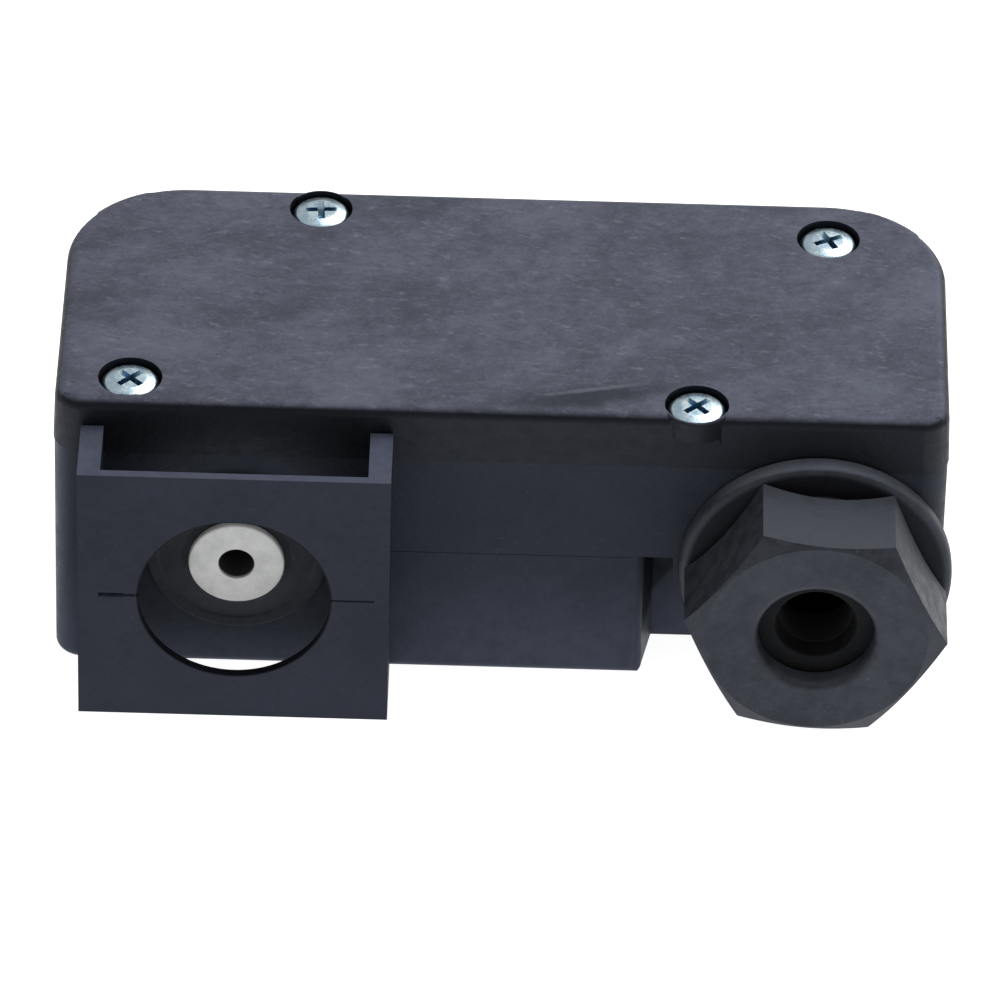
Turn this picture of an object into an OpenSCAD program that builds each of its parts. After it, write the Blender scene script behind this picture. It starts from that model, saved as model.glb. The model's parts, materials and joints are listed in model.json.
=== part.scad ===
/* [Housing] */
// Length of the housing, left to right
body_l = 94.7; // [92:0.1:98]
// Depth of the housing, front to back
body_d = 40; // [38.5:0.25:41]
// Height of the housing with its cover
body_h = 34.5; // [34:0.25:37]
// Height of the cover's side
cover_h = 6.4; // [6:0.1:6.8]
// Radius of the two back corners in plan
back_r = 13; // [8:0.5:14]
// Radius of the two front corners in plan
front_r = 3; // [2:0.5:4]
// Wall thickness of the base
wall = 2.5; // [2:0.1:2.6]
// How far the base stands in from the cover all round
inset = 0.1; // [0.1:0.05:0.25]

/* [Guard] */
// Width of the guard over both arms
guard_w = 32.9; // [32:0.1:34]
// Height of the guard
guard_h = 31.6; // [30:0.1:33]
// How far the guard's plate stands in front of the cover
guard_reach = 8.8; // [8.5:0.1:12]
// Thickness of the guard's plate
plate_t = 1; // [0.8:0.1:1.2]
// Thickness of each arm
arm_t = 2.4; // [2:0.1:3]
// Diameter of the round window
window_dia = 20.4; // [18:0.1:22]

/* [Plunger] */
// Diameter of the plunger's head
head_dia = 10.2; // [9.5:0.1:10.6]
// Diameter of the hole in the head
socket_dia = 3.8; // [3:0.1:4.2]
// Diameter of the stem
stem_dia = 6; // [5.6:0.1:6.2]
// How far the head stands in front of the cover at rest
head_reach = 2.65; // [2.6:0.05:3.2]
// Travel of the plunger
travel = 1.8; // [1:0.1:1.8]

/* [Gland] */
// Width of the cap nut across its flats
nut_af = 24.2; // [23:0.1:24.4]
// Length of the cap nut
nut_l = 10.4; // [10.4:0.1:13]
// Radius of the gland's round collar
collar_r = 14.5; // [14.2:0.1:14.7]
// Diameter of the opening in the cap nut
nut_hole_dia = 12.4; // [11:0.1:12.6]
// Bore of the sealing insert
insert_bore_dia = 7.5; // [6:0.1:9]

/* [Cover screws] */
// Diameter of a cover screw's head
screw_head_dia = 6; // [5.6:0.1:6.2]
// Diameter of the recess around a cover screw's head
recess_dia = 6.8; // [6.7:0.1:7.2]

/* [Hidden] */
$fn = 64;
eps = 0.01;

// Planes
front_y = -body_d / 2;
base_front_y = front_y + inset;
split_z = body_h - cover_h;

// Axes of the plunger and of the gland
plunger_x = -27.73;
plunger_z = 15.65;
gland_x = 33.7;
gland_z = 15.45;
gland_turn = 4.5;

// How far the guard's middle lies left of the plunger
guard_shift = 0.08;
guard_cover_gap = 0.1;

// Edges
top_edge_r = 1.2;
bottom_edge_r = 1.1;

// Gaps between parts that only meet
seat_gap = 0.05;

// Cover
cover_wall = 2.2;
recess_wall = 1;
ring_t = 0.3;
ring_edge = 0.2;
ring_skirt = 0.6;
ring_foot_r = 2.4;

// Notch below the gland, cut into the front right of the base
notch_x = 15.6;
notch_depth = 7.3;
notch_slant = 1;
notch_z = 16;
notch_corner_r = 1.2;
notch_wall_t = 2.1;

// Cover screws, [x, y, lower end of the boss]
cover_screw_places = [
  [-39.3, front_y + 4.8, wall], [-20.2, -front_y - 3.8, wall],
  [34.6, -front_y - 6.9, wall], [20.5, front_y + 2.6, notch_z]
];
screw_shank_r = 1.5;
screw_len = 12;
screw_head_h = 2.4;
screw_sink = 0.12;
thread_clear = 0.02;
screw_end_gap = 0.5;
shank_clear = 0.2;
boss_r = 3.2;
head_seat_z = body_h - screw_sink - screw_head_h;

// Screw heads, as fractions of the head's height or radius
pan_skirt = 0.7;
pan_crown = 0.85;
cross_floor = 0.5;
cross_w = 0.26;
cross_l = 1.2;
cross_turn = 18;

// Gasket
lip_t = 0.6;
gasket_t = 0.8;
gasket_ear_r = 3.4;

// Plunger, depths counted from the cover's front plane
socket_l = 6;
head_t = 0.8;
guide_clear = 0.05;
bushing_r = 5;
bushing_l = 5;
guide_boss_r = 6.5;
clip_d = 5.15;
clip_t = 0.8;
clip_r = 4.6;
clip_groove = 0.4;
clip_mouth = 4;
spring_end_d = 10.4;
spring_r = 3.9;
spring_wire_r = 0.3;
spring_turns = 4;
seat_d = 10.5;
seat_t = 1.2;
seat_w = 12;
seat_top = 8;
seat_clear = 0.1;
tip_d = 13.4;
tip_r = 1.2;
tip_l = 2;

// Boot, depths counted from the cover's front plane
boot_neck_r = 5.3;
boot_rim_r = 9.8;
boot_rim_w = 0.8;
boot_rim_edge = 0.5;
boot_rim_d = -0.95;
boot_web_t = 0.35;

// Shallow recess behind the boot, for its web to fold into
fold_r = 6;
fold_d = 0.7;

// Microswitch, depths counted from its front face
sw_d = 16.6;
sw_l = 19.8;
sw_depth = 10.2;
sw_z = 12.6;
sw_h = 6.4;
sw_wall = 0.9;
sw_lid_t = 0.8;
sw_mid_z = 15.7;
sw_screw_dx = [-6.5, 3];
sw_screw_d = 7.8;
sw_post_r = 1.7;
sw_post_foot = 0.4;
m2_r = 1;
m2_head_r = 1.9;
m2_head_h = 1.3;
m2_depth = 5;
m2_clear = 0.1;
ear_t = 1;
ear_gap = 0.3;
lever_pin_x = plunger_x - 8.5;
lever_pin_d = 14.5;
lever_pin_r = 0.5;
lever_t = 0.5;
lever_w = 2.8;
lever_tip_x = plunger_x + 1.1;
knuckle_r = 1;
button_x = plunger_x - 6.1;
button_r = 1.2;
button_tip_d = 14.1;
button_foot_r = 0.6;
button_foot_l = 0.8;
button_gap = 0.1;
strip_t = 0.4;
strip_w = 2.8;
blade_t = 0.3;
blade_d = 4;
blade_x = [plunger_x - 7.6, plunger_x + 8.3];
pivot_x = plunger_x - 0.1;
pivot_r = 0.3;
pivot_d = sw_d + blade_d + blade_t + seat_gap + pivot_r;
contact_x = plunger_x + 7.4;
no_x = contact_x + 1.3;
nc_x = contact_x - 1.4;
no_strip_x = contact_x - 1.2;
nc_strip_x = contact_x + 0.7;
contact_r = 0.9;
rivet_l = 1.1;
no_face_d = 2.85;
nc_face_d = 4.75;
fixed_rivet_l = 0.45;
terminal_end_d = 12.9;
slot_clear = 0.05;

// Terminal block
ways = 3;
pitch = 6.5;
block_x = -7.25;
block_y = [-6, 4];
block_h = 11;
clamp_w = 4.5;
clamp_l = 8;
clamp_h = 7;
clamp_z = 3;
entry_z = 7;
entry_r = 1.5;
clamp_screw_r = 1.25;
clamp_screw_z = 8.6;
clamp_head_r = 1.9;
clamp_head_t = 1.5;
clamp_head_gap = 0.3;
screwdriver_slot = 0.5;
slot_depth = 0.6;

// Leads, with the height of each one's long run
lead_r = 0.7;
lead_overlap = 0.2;
lead_y = depth(sw_d + terminal_end_d - lead_overlap);
lead_run = [5.6, 8.9, 7.2];
lead_turn_y = block_y[1] + 1.2;
lead_end_y = 1.2;
lead_knee = 1.04;

// Gland, depths counted from the cover's front plane
boss_gland_r = 15.1;
collar_t = 2.1;
nipple_r = 9.95;
nipple_l = 12;
gland_bore_r = 6.6;
nozzle_r = 9.3;
nozzle_l = 6.2;
nut_bore_r = 9.4;
nut_gap = 0.1;
nut_shoulder_l = 2.2;
nut_chamfer_r = 11.8;
nut_chamfer_l = 1.2;
nozzle_seat_l = 1;
cage_r = 8.9;
cage_wall = 0.8;
cage_slots = 8;
cage_slot_w = 1;
cage_slot_l = 4;
insert_r = 8;
insert_front_d = -10;
o_ring_r = 10.9;
o_ring_wire_r = 0.75;
o_ring_groove = 0.8;

function depth(d) = front_y + d;
function way_x(i) = block_x + pitch * (i + 0.5);

// A cylinder along +Y from one depth to another
module rod(x, z, from_d, to_d, r) {
  translate([x, depth(from_d), z]) rotate([-90, 0, 0]) cylinder(h = to_d - from_d, r = r);
}

module block(x0, x1, from_d, to_d, z0, z1) {
  translate([x0, depth(from_d), z0]) cube([x1 - x0, to_d - from_d, z1 - z0]);
}

// A solid of revolution about a line along +Y, its profile in [radius, depth]
module turned(x, z, profile) {
  translate([x, depth(0), z]) rotate([-90, 0, 0]) rotate_extrude() polygon(profile);
}

// Plan of the housing, stepped in by d
module outline(d) {
  hx = body_l / 2;
  hy = body_d / 2;
  for (s = [-1, 1]) {
    translate([s * (hx - back_r), hy - back_r]) circle(r = back_r - d);
    translate([s * (hx - front_r), -hy + front_r]) circle(r = max(front_r - d, 0.5));
  }
  f = max(front_r - d, 0.5);
  translate([-hx + d, -hy + d + f]) square([body_l - 2 * d, body_d - d - f - back_r]);
  translate([-hx + d + f, -hy + d]) square([body_l - 2 * (d + f), front_r]);
  translate([-hx + back_r, -hy + d + f]) square([body_l - 2 * back_r, body_d - 2 * d - f]);
}

// A slab with the housing's plan, its upper edge rounded by e
module slab(d, h, e) {
  hx = body_l / 2;
  hy = body_d / 2;
  bx = hx - back_r;
  by = hy - back_r;
  fx = hx - front_r;
  fy = front_r - hy;
  for (s = [-1, 1]) {
    translate([s * bx, by]) rotate_extrude() half_profile(back_r - d, h, e);
    translate([s * fx, fy]) rotate_extrude() half_profile(front_r - d, h, e);
  }
  translate([0, by]) rotate([90, 0, 0]) linear_extrude(by - fy) profile(hx - d, h, e);
  translate([-bx, 0]) rotate([90, 0, 90]) linear_extrude(2 * bx) profile(hy - d, h, e);
  intersection() {
    translate([-fx, 0]) rotate([90, 0, 90]) linear_extrude(2 * fx) profile(hy - d, h, e);
    translate([-fx, -hy]) cube([2 * fx, hy + by, h]);
  }
}

module half_profile(r, h, e) {
  square([r - e, h]);
  square([r, h - e]);
  translate([r - e, h - e]) circle(r = e);
}

module profile(half_w, h, e) {
  translate([-half_w + e, 0]) square([2 * (half_w - e), h]);
  translate([-half_w, 0]) square([2 * half_w, h - e]);
  for (s = [-1, 1]) translate([s * (half_w - e), h - e]) circle(r = e);
}

module at_cover_screws() {
  for (p = cover_screw_places) translate([p[0], p[1], 0]) children();
}

module base_outside() {
  translate([0, 0, split_z]) mirror([0, 0, 1]) slab(inset, split_z, bottom_edge_r);
}

// Straight behind the rounded front corner, then slanting away to the right
module notch_void() {
  far = body_l;
  inner_y = depth(notch_depth);
  low_y = front_y - 1;
  translate([0, 0, -1]) linear_extrude(notch_z + 1) polygon([
    [notch_x, low_y], [far, low_y], [far, inner_y], [notch_x + notch_slant, inner_y],
    [notch_x, base_front_y + notch_corner_r]
  ]);
}

// Lower wall corner beside the notch is rounded
module notch_corner() {
  r = notch_corner_r;
  difference() {
    translate([notch_x - r, base_front_y - eps, -eps]) cube([r + eps, r + eps, notch_z]);
    translate([notch_x - r, base_front_y + r, -1]) cylinder(h = notch_z + 2, r = r);
  }
}

module cavity() {
  notch_in_x = notch_x - notch_wall_t;
  notch_in_y = depth(notch_depth) + notch_wall_t;
  difference() {
    translate([0, 0, wall]) linear_extrude(split_z) outline(inset + wall);
    translate([notch_in_x, -body_d, -1])
      cube([body_l, notch_in_y + body_d, notch_z + notch_wall_t + 1]);
  }
}

module screw_bosses() {
  for (p = cover_screw_places) {
    translate([p[0], p[1], p[2] - eps]) cylinder(h = split_z - p[2] + eps, r = boss_r);
  }
}

module housing_base() color("#2b2d33") difference() {
  union() {
    difference() {
      base_outside();
      cavity();
      notch_void();
      notch_corner();
    }
    intersection() {
      base_outside();
      union() {
        screw_bosses();
        rod(plunger_x, plunger_z, inset, bushing_l, guide_boss_r);
        rod(gland_x, gland_z, inset, notch_depth + 1, boss_gland_r);
      }
    }
    block(plunger_x - seat_w / 2, plunger_x + seat_w / 2, seat_d, seat_d + seat_t,
      wall - eps, plunger_z + seat_top);
    for (dx = sw_screw_dx) {
      translate([plunger_x + dx, depth(sw_d + sw_screw_d), wall - eps])
        cylinder(h = sw_z - wall + eps, r = sw_post_r + sw_post_foot);
    }
  }
  gasket_shape(split_z - gasket_t, gasket_t + 1);
  at_cover_screws() translate([0, 0, head_seat_z - screw_len - screw_end_gap])
    cylinder(h = body_h, r = screw_shank_r + thread_clear);
  rod(plunger_x, plunger_z, inset - 1, bushing_l + 1, bushing_r);
  rod(plunger_x, plunger_z, inset - 1, fold_d, fold_r);
  rod(plunger_x, plunger_z, seat_d - 1, seat_d + seat_t + 1, stem_dia / 2 + seat_clear);
  rod(gland_x, gland_z, inset - 1, notch_depth + notch_wall_t + 1, nipple_r + guide_clear);
  for (dx = sw_screw_dx) {
    translate([plunger_x + dx, depth(sw_d + sw_screw_d), sw_z - m2_depth - 1])
      cylinder(h = m2_depth + 2, r = m2_r);
  }
}

module guard_frame() color("#2c2f36") {
  x0 = plunger_x - guard_w / 2 - guard_shift;
  x1 = x0 + guard_w;
  back_d = inset;
  difference() {
    union() {
      block(x0, x1, -guard_reach, -guard_reach + plate_t, 0, guard_h);
      block(x0, x0 + arm_t, -guard_reach, back_d, 0, guard_h);
      block(x1 - arm_t, x1, -guard_reach, back_d, 0, guard_h);
    }
    rod(plunger_x, plunger_z, -guard_reach - 1, -guard_reach + plate_t + 1, window_dia / 2);
    block(x0 - 1, x1 + 1, -guard_cover_gap, back_d + 1, split_z - guard_cover_gap, body_h);
  }
}

// A thin raised ring round each screw, seen where a screw stands at the cover's edge
module screw_rings() {
  ring_r = recess_dia / 2 + ring_t;
  skirt_z = head_seat_z - ring_skirt;
  at_cover_screws() rotate_extrude() polygon([
    [0, skirt_z - ring_r + ring_foot_r], [ring_foot_r, skirt_z - ring_r + ring_foot_r], [ring_r, skirt_z],
    [ring_r, body_h - ring_edge], [ring_r - ring_edge, body_h], [0, body_h]
  ]);
}

module cover() color("#34323a") difference() {
  union() {
    screw_rings();
    difference() {
      translate([0, 0, split_z]) slab(0, cover_h, top_edge_r);
      translate([0, 0, split_z - 1]) linear_extrude(cover_h - cover_wall + 1) outline(cover_wall);
    }
    intersection() {
      translate([0, 0, split_z]) slab(0, cover_h, top_edge_r);
      at_cover_screws() translate([0, 0, split_z])
        cylinder(h = cover_h, r = recess_dia / 2 + recess_wall);
    }
  }
  at_cover_screws() {
    translate([0, 0, head_seat_z]) cylinder(h = body_h, r = recess_dia / 2);
    translate([0, 0, split_z - 1]) cylinder(h = body_h, r = screw_shank_r + shank_clear);
  }
}

module gasket_shape(z, t) {
  translate([0, 0, z]) linear_extrude(t) {
    difference() {
      outline(inset + lip_t);
      outline(inset + wall);
    }
    intersection() {
      outline(inset + lip_t);
      for (p = cover_screw_places) translate([p[0], p[1]]) {
        circle(r = gasket_ear_r);
        translate([-gasket_ear_r, p[1] > 0 ? 0 : -body_d]) square([2 * gasket_ear_r, body_d]);
      }
    }
  }
}

module cover_gasket() color("#1a1a1a") difference() {
  gasket_shape(split_z - gasket_t, gasket_t);
  at_cover_screws() cylinder(h = body_h, r = screw_shank_r + shank_clear);
}

module cross_recess(w, l, h) {
  for (turn = [0, 90]) rotate(turn) translate([-l / 2, -w / 2, 0]) cube([l, w, h]);
}

// A raised head with a cross recess, its seat at z = 0
module pan_screw(head_r, head_h, shank_r, shank_l) {
  skirt_h = head_h * pan_skirt;
  difference() {
    union() {
      cylinder(h = skirt_h, r = head_r);
      translate([0, 0, skirt_h]) cylinder(h = head_h - skirt_h, r1 = head_r, r2 = head_r * pan_crown);
      translate([0, 0, -shank_l]) cylinder(h = shank_l + eps, r = shank_r);
    }
    translate([0, 0, head_h * cross_floor]) cross_recess(head_r * cross_w, head_r * cross_l, head_h);
  }
}

module cover_screws() color("#c9d3da") {
  at_cover_screws() translate([0, 0, head_seat_z]) rotate(cross_turn)
    pan_screw(screw_head_dia / 2, screw_head_h, screw_shank_r, screw_len);
}

module plunger() color("#d9d6cb") difference() {
  union() {
    rod(plunger_x, plunger_z, -head_reach, -head_reach + head_t, head_dia / 2);
    rod(plunger_x, plunger_z, -head_reach, tip_d - tip_l, stem_dia / 2);
    rod(plunger_x, plunger_z, tip_d - tip_l - eps, tip_d - tip_r, tip_r);
    translate([plunger_x, depth(tip_d - tip_r), plunger_z]) sphere(r = tip_r);
  }
  rod(plunger_x, plunger_z, -head_reach - 1, -head_reach + socket_l, socket_dia / 2);
  difference() {
    rod(plunger_x, plunger_z, clip_d, clip_d + clip_t, stem_dia / 2 + 1);
    rod(plunger_x, plunger_z, clip_d - 1, clip_d + clip_t + 1, stem_dia / 2 - clip_groove);
  }
}

module plunger_bushing() color("#8a7a4a") difference() {
  rod(plunger_x, plunger_z, fold_d, bushing_l, bushing_r);
  rod(plunger_x, plunger_z, fold_d - 1, bushing_l + 1, stem_dia / 2 + guide_clear);
}

module plunger_boot() color("#17171a") {
  inner = stem_dia / 2 + guide_clear;
  web_d = -head_reach + head_t + guide_clear;
  back_d = inset;
  turned(plunger_x, plunger_z, [
    [inner, web_d], [boot_neck_r, web_d], [boot_rim_r - boot_rim_edge, boot_rim_d],
    [boot_rim_r, boot_rim_d + boot_rim_edge], [boot_rim_r, back_d], [boot_rim_r - boot_rim_w, back_d],
    [boot_rim_r - boot_rim_w, boot_rim_d + boot_rim_edge], [boot_neck_r, web_d + boot_web_t],
    [inner, web_d + boot_web_t]
  ]);
}

// A round wire wound about a line along +Y
module spring(from_d, to_d, r, wire_r, turns) {
  per_turn = 16;
  sides = 6;
  steps = turns * per_turn;
  pitch_y = (to_d - from_d - 2 * wire_r) / steps;
  points = [for (i = [0:steps]) for (j = [0:sides - 1])
    let (a = 360 * i / per_turn, b = 360 * j / sides, rr = r + wire_r * cos(b))
    [rr * cos(a), depth(from_d) + wire_r + i * pitch_y + wire_r * sin(b), rr * sin(a)]];
  tube = [for (i = [0:steps - 1]) for (j = [0:sides - 1])
    let (k = (j + 1) % sides)
    [i * sides + j, (i + 1) * sides + j, (i + 1) * sides + k, i * sides + k]];
  first = [for (j = [0:sides - 1]) j];
  last = [for (j = [sides - 1:-1:0]) steps * sides + j];
  polyhedron(points, concat([first], tube, [last]), convexity = 8);
}

module plunger_spring() color("#9aa0a6") translate([plunger_x, 0, plunger_z])
  spring(clip_d + clip_t + seat_gap, spring_end_d, spring_r, spring_wire_r, spring_turns);

module plunger_clip() color("#70757a") difference() {
  rod(plunger_x, plunger_z, clip_d, clip_d + clip_t, clip_r);
  rod(plunger_x, plunger_z, clip_d - 1, clip_d + clip_t + 1, stem_dia / 2 - clip_groove);
  block(plunger_x - clip_mouth / 2, plunger_x + clip_mouth / 2, clip_d - 1, clip_d + clip_t + 1,
    plunger_z, plunger_z + clip_r + 1);
}

module strip(x0, x1, from_d, to_d) {
  block(x0, x1, from_d, to_d, sw_mid_z - strip_w / 2, sw_mid_z + strip_w / 2);
}

module terminal_paths(grow) {
  for (x = [pivot_x, nc_x, no_x]) {
    translate([x, depth(sw_d + sw_depth - sw_wall - 1), sw_mid_z - strip_w / 2 - grow])
      translate([-strip_t / 2 - grow, 0, 0])
      cube([strip_t + 2 * grow, sw_wall + 2, strip_w + 2 * grow]);
  }
}

module switch_case() color("#2f4f7a") {
  x0 = plunger_x - sw_l / 2;
  x1 = x0 + sw_l;
  top = sw_z + sw_h - sw_lid_t;
  ears = [sw_z + ear_gap, top - ear_t];
  difference() {
    union() {
      difference() {
        block(x0, x1, sw_d, sw_d + sw_depth, sw_z, top);
        block(x0 + sw_wall, x1 - sw_wall, sw_d + sw_wall, sw_d + sw_depth - sw_wall,
          sw_z + sw_wall, top + 1);
      }
      for (dx = sw_screw_dx) {
        translate([plunger_x + dx, depth(sw_d + sw_screw_d), sw_z])
          cylinder(h = top - sw_z, r = sw_post_r);
      }
      for (z = ears) {
        block(lever_pin_x - knuckle_r, lever_pin_x + knuckle_r, lever_pin_d - knuckle_r,
          sw_d + eps, z, z + ear_t);
      }
    }
    for (dx = sw_screw_dx) {
      translate([plunger_x + dx, depth(sw_d + sw_screw_d), sw_z - 1])
        cylinder(h = sw_h + 2, r = m2_r + m2_clear);
    }
    translate([lever_pin_x, depth(lever_pin_d), sw_z - 1]) cylinder(h = sw_h + 2, r = lever_pin_r);
    rod(button_x, sw_mid_z, sw_d - 1, sw_d + sw_wall + 1, button_r + guide_clear);
    terminal_paths(slot_clear);
  }
}

module switch_lid() color("#35598a") difference() {
  x0 = plunger_x - sw_l / 2;
  block(x0, x0 + sw_l, sw_d, sw_d + sw_depth, sw_z + sw_h - sw_lid_t, sw_z + sw_h);
  for (dx = sw_screw_dx) {
    translate([plunger_x + dx, depth(sw_d + sw_screw_d), sw_z])
      cylinder(h = sw_h + 2, r = m2_r + m2_clear);
  }
}

module switch_button() color("#c8302a") {
  foot_d = sw_d + blade_d - button_gap;
  translate([button_x, depth(button_tip_d + button_r), sw_mid_z]) sphere(r = button_r);
  rod(button_x, sw_mid_z, button_tip_d + button_r, foot_d - button_foot_l, button_r);
  rod(button_x, sw_mid_z, foot_d - button_foot_l - eps, foot_d, button_foot_r);
}

module switch_lever() color("#b5b9bd") {
  face_d = lever_pin_d - knuckle_r;
  z0 = sw_mid_z - lever_w / 2;
  difference() {
    union() {
      block(lever_pin_x, lever_tip_x, face_d, face_d + lever_t, z0, z0 + lever_w);
      translate([lever_pin_x, depth(lever_pin_d), z0]) cylinder(h = lever_w, r = knuckle_r);
    }
    translate([lever_pin_x, depth(lever_pin_d), z0 - 1])
      cylinder(h = lever_w + 2, r = lever_pin_r + guide_clear);
  }
}

module lever_pin() color("#d0d4d8") {
  translate([lever_pin_x, depth(lever_pin_d), sw_z + ear_gap])
    cylinder(h = sw_h - sw_lid_t - ear_gap, r = lever_pin_r);
}

module snap_blade() color("#b87333") difference() {
  block(blade_x[0], blade_x[1], sw_d + blade_d, sw_d + blade_d + blade_t,
    sw_mid_z - strip_w / 2, sw_mid_z + strip_w / 2);
  rod(contact_x, sw_mid_z, sw_d + blade_d - 1, sw_d + blade_d + 1, contact_r / 2);
}

module moving_contact() color("#d8d8dc") {
  mid_d = sw_d + blade_d + blade_t / 2;
  rod(contact_x, sw_mid_z, mid_d - rivet_l / 2, sw_d + blade_d, contact_r);
  rod(contact_x, sw_mid_z, sw_d + blade_d - eps, sw_d + blade_d + blade_t + eps, contact_r / 2);
  rod(contact_x, sw_mid_z, sw_d + blade_d + blade_t, mid_d + rivet_l / 2, contact_r);
}

module contact_common() color("#b08d57") {
  strip(pivot_x - strip_t / 2, pivot_x + strip_t / 2, pivot_d, sw_d + terminal_end_d);
  translate([pivot_x, depth(pivot_d), sw_mid_z - strip_w / 2]) cylinder(h = strip_w, r = pivot_r);
}

module contact_no() color("#b08d57") {
  back_d = sw_d + no_face_d - fixed_rivet_l;
  rod(contact_x, sw_mid_z, back_d - eps, sw_d + no_face_d, contact_r);
  strip(no_strip_x, no_x + strip_t / 2, back_d - strip_t, back_d);
  strip(no_x - strip_t / 2, no_x + strip_t / 2, back_d - strip_t, sw_d + terminal_end_d);
}

module contact_nc() color("#b08d57") {
  front_d = sw_d + nc_face_d + fixed_rivet_l;
  rod(contact_x, sw_mid_z, sw_d + nc_face_d, front_d + eps, contact_r);
  strip(nc_x - strip_t / 2, nc_strip_x, front_d, front_d + strip_t);
  strip(nc_x - strip_t / 2, nc_x + strip_t / 2, front_d, sw_d + terminal_end_d);
}

module switch_screws() color("#c9d3da") {
  for (dx = sw_screw_dx) {
    translate([plunger_x + dx, depth(sw_d + sw_screw_d), sw_z + sw_h])
      pan_screw(m2_head_r, m2_head_h, m2_r, sw_h + m2_depth);
  }
}

module terminal_block() color("#d8d2c0") difference() {
  translate([block_x, block_y[0], wall]) cube([ways * pitch, block_y[1] - block_y[0], block_h]);
  for (i = [0:ways - 1]) {
    mid_y = (block_y[0] + block_y[1]) / 2;
    translate([way_x(i) - clamp_w / 2, mid_y - clamp_l / 2, wall - 1])
      cube([clamp_w, clamp_l, clamp_z + clamp_h - wall + 1]);
    translate([way_x(i), block_y[0] - 1, entry_z]) rotate([-90, 0, 0]) cylinder(h = 12, r = entry_r);
    translate([way_x(i), mid_y, wall]) cylinder(h = block_h + 1, r = clamp_head_r + m2_clear);
  }
}

module terminal_clamps() color("#c2a14d") {
  mid_y = (block_y[0] + block_y[1]) / 2;
  for (i = [0:ways - 1]) difference() {
    translate([way_x(i) - clamp_w / 2 + seat_gap, mid_y - clamp_l / 2 + seat_gap, clamp_z])
      cube([clamp_w - 2 * seat_gap, clamp_l - 2 * seat_gap, clamp_h]);
    translate([way_x(i), mid_y - clamp_l, entry_z]) rotate([-90, 0, 0])
      cylinder(h = 2 * clamp_l, r = entry_r);
    translate([way_x(i), mid_y, entry_z]) cylinder(h = block_h, r = clamp_screw_r);
  }
}

module terminal_screws() color("#c9d3da") {
  mid_y = (block_y[0] + block_y[1]) / 2;
  head_z = clamp_z + clamp_h + clamp_head_gap;
  for (i = [0:ways - 1]) translate([way_x(i), mid_y, head_z]) difference() {
    union() {
      cylinder(h = clamp_head_t, r = clamp_head_r);
      translate([0, 0, clamp_screw_z - head_z])
        cylinder(h = head_z - clamp_screw_z + eps, r = clamp_screw_r);
    }
    translate([-clamp_head_r - 1, -screwdriver_slot / 2, clamp_head_t - slot_depth])
      cube([2 * clamp_head_r + 2, screwdriver_slot, slot_depth + 1]);
  }
}

// An insulated lead through a list of points
module lead(points) {
  for (i = [0:len(points) - 2]) {
    a = points[i];
    b = points[i + 1];
    v = b - a;
    translate(a) rotate([0, acos(v[2] / norm(v)), atan2(v[1], v[0])]) cylinder(h = norm(v), r = lead_r);
    if (i > 0) translate(a) sphere(r = lead_r * lead_knee);
  }
}

// From a terminal's tail down, along the base's floor and into a clamp
module lead_route(x, run_z, way) {
  tail_z = sw_mid_z - strip_w / 2;
  lead([
    [x, lead_y, tail_z], [x, lead_y, run_z], [way_x(way), lead_y, run_z],
    [way_x(way), lead_turn_y, entry_z], [way_x(way), lead_end_y, entry_z]
  ]);
}

module lead_common() color("#1b1b1d") lead_route(pivot_x, lead_run[0], 0);

module lead_no() color("#8c2f28") lead_route(no_x, lead_run[1], 2);

module lead_nc() color("#2d4c8c") lead_route(nc_x, lead_run[2], 1);

module gland_body() color("#202124") difference() {
  union() {
    rod(gland_x, gland_z, -collar_t, 0, collar_r);
    rod(gland_x, gland_z, -eps, nipple_l, nipple_r);
    rod(gland_x, gland_z, -collar_t - nozzle_l, -collar_t + eps, nozzle_r);
  }
  rod(gland_x, gland_z, -collar_t - 1, nipple_l + 1, gland_bore_r);
  rod(gland_x, gland_z, -collar_t - nozzle_l - 1, -collar_t - nozzle_seat_l, cage_r + guide_clear);
  turned(gland_x, gland_z, [
    [o_ring_r - o_ring_groove, -2 * o_ring_groove], [o_ring_r + o_ring_groove, -2 * o_ring_groove],
    [o_ring_r + o_ring_groove, 1], [o_ring_r - o_ring_groove, 1]
  ]);
}

module gland_o_ring() color("#101012") {
  translate([gland_x, depth(-o_ring_groove), gland_z]) rotate([-90, 0, 0])
    rotate_extrude() translate([o_ring_r, 0]) circle(r = o_ring_wire_r);
}

module clamp_cage() color("#3a3c40") {
  front_d = -collar_t - nozzle_l - 1;
  back_d = -collar_t - nozzle_seat_l - seat_gap;
  difference() {
    rod(gland_x, gland_z, front_d, back_d, cage_r);
    rod(gland_x, gland_z, front_d - 1, back_d + 1, cage_r - cage_wall);
    for (i = [0:cage_slots - 1]) translate([gland_x, depth(front_d - 1), gland_z])
      rotate([0, 360 * i / cage_slots, 0]) translate([cage_r - 2, 0, -cage_slot_w / 2])
      cube([3, cage_slot_l + 1, cage_slot_w]);
  }
}

module sealing_insert() color("#121214") difference() {
  rod(gland_x, gland_z, insert_front_d, -collar_t - nozzle_seat_l - seat_gap, insert_r);
  rod(gland_x, gland_z, insert_front_d - 1, 0, insert_bore_dia / 2);
}

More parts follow.
